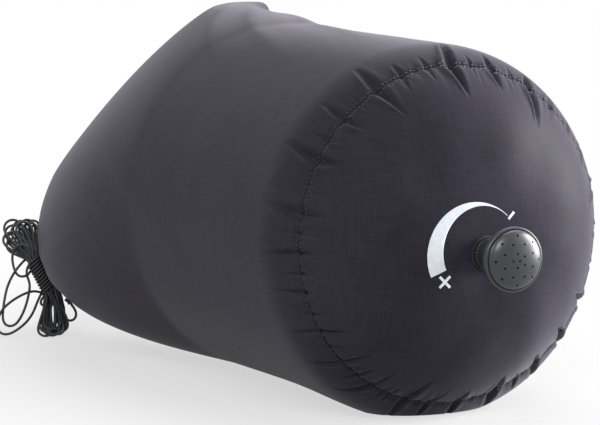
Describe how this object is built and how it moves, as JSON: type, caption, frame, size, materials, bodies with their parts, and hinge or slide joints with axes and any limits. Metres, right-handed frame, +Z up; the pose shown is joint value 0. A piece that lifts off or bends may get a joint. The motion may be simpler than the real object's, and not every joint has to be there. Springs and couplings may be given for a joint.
{
  "type": "camp shower bag",
  "caption": "Filled roll-top camp shower bag lying on its side, with a twist shower rose in its domed base, a printed flow scale, a buckled rolled mouth and a hank of hanging cord",
  "frame": {"origin": "middle of the flat that the filled bag rests on, 100 mm behind the base seam, under the bag's axis", "axes": "+Z up, +Y along the bag's axis from the rose end to the rolled mouth; the rose points to -Y"},
  "size_m": [0.2219, 0.5369, 0.1912],
  "materials": {
    "coated_nylon": "dark charcoal coated nylon, satin",
    "tape_film": "welded seam film, matt",
    "print_ink": "pale grey printed ink",
    "head_plastic": "black moulded plastic, satin",
    "valve_plastic": "natural moulded plastic",
    "seal_rubber": "black rubber",
    "webbing": "black woven webbing",
    "buckle_plastic": "black moulded plastic, glossy",
    "cord_yarn": "black round braided cord"
  },
  "bodies": {
    "bag": {"side_wall": "coated_nylon", "base_panel": "coated_nylon", "mouth_roll": "coated_nylon", "base_seam_allowance": "tape_film", "side_seam_tape": "tape_film", "base_patch": "tape_film", "flow_crescent": "print_ink", "flow_less_sign": "print_ink", "flow_more_sign": "print_ink", "inner_gasket": "seal_rubber", "outer_gasket": "seal_rubber", "spout_o_ring": "seal_rubber", "retaining_nut": "head_plastic", "spout": "valve_plastic", "stiffener_strip": "buckle_plastic", "buckle_female": "buckle_plastic", "webbing_tab_lower": "webbing", "cord_hitch": "cord_yarn", "cord_knot": "cord_yarn", "cord_lead": "cord_yarn", "cord_hank": "cord_yarn", "cord_wraps": "cord_yarn", "cord_slack": "cord_yarn", "cord_tail": "cord_yarn"},
    "valve": {"valve_jumper": "valve_plastic", "valve_washer": "seal_rubber"},
    "rose": {"rose_shell": "head_plastic", "rose_face": "head_plastic", "rose_spider": "valve_plastic"},
    "clip": {"buckle_male": "buckle_plastic", "webbing_tab_upper": "webbing"},
    "arm_upper": {"release_arm_upper": "buckle_plastic"},
    "arm_lower": {"release_arm_lower": "buckle_plastic"}
  },
  "joints": [
    {"name": "valve_lift", "type": "slide", "parent": "bag", "child": "valve", "axis": [0, -1, 0], "range_m": [0, 0.00258]},
    {"name": "rose_twist", "type": "hinge", "parent": "valve", "child": "rose", "pos_m": [0, -0.16, 0.0885], "axis": [0, -1, 0], "range_deg": [0, 155]},
    {"name": "buckle_pull", "type": "slide", "parent": "bag", "child": "clip", "axis": [0.8707, -0.1215, 0.4765], "range_m": [0, 0.026]},
    {"name": "release_upper", "type": "hinge", "parent": "clip", "child": "arm_upper", "pos_m": [0.05815, 0.36109, 0.11416], "axis": [-0.3141, -0.8829, 0.3489], "range_deg": [0, 7], "stiffness_Nm_per_rad": 0.05},
    {"name": "release_lower", "type": "hinge", "parent": "clip", "child": "arm_lower", "pos_m": [0.06594, 0.35174, 0.09754], "axis": [-0.3141, -0.8829, 0.3489], "range_deg": [-7, 0], "stiffness_Nm_per_rad": 0.05}
  ],
  "couplings": [
    {"joint": "rose_twist", "follows": "valve_lift", "rad_per_m": 1047.2},
    {"joint": "release_lower", "follows": "release_upper", "ratio": -1}
  ]
}
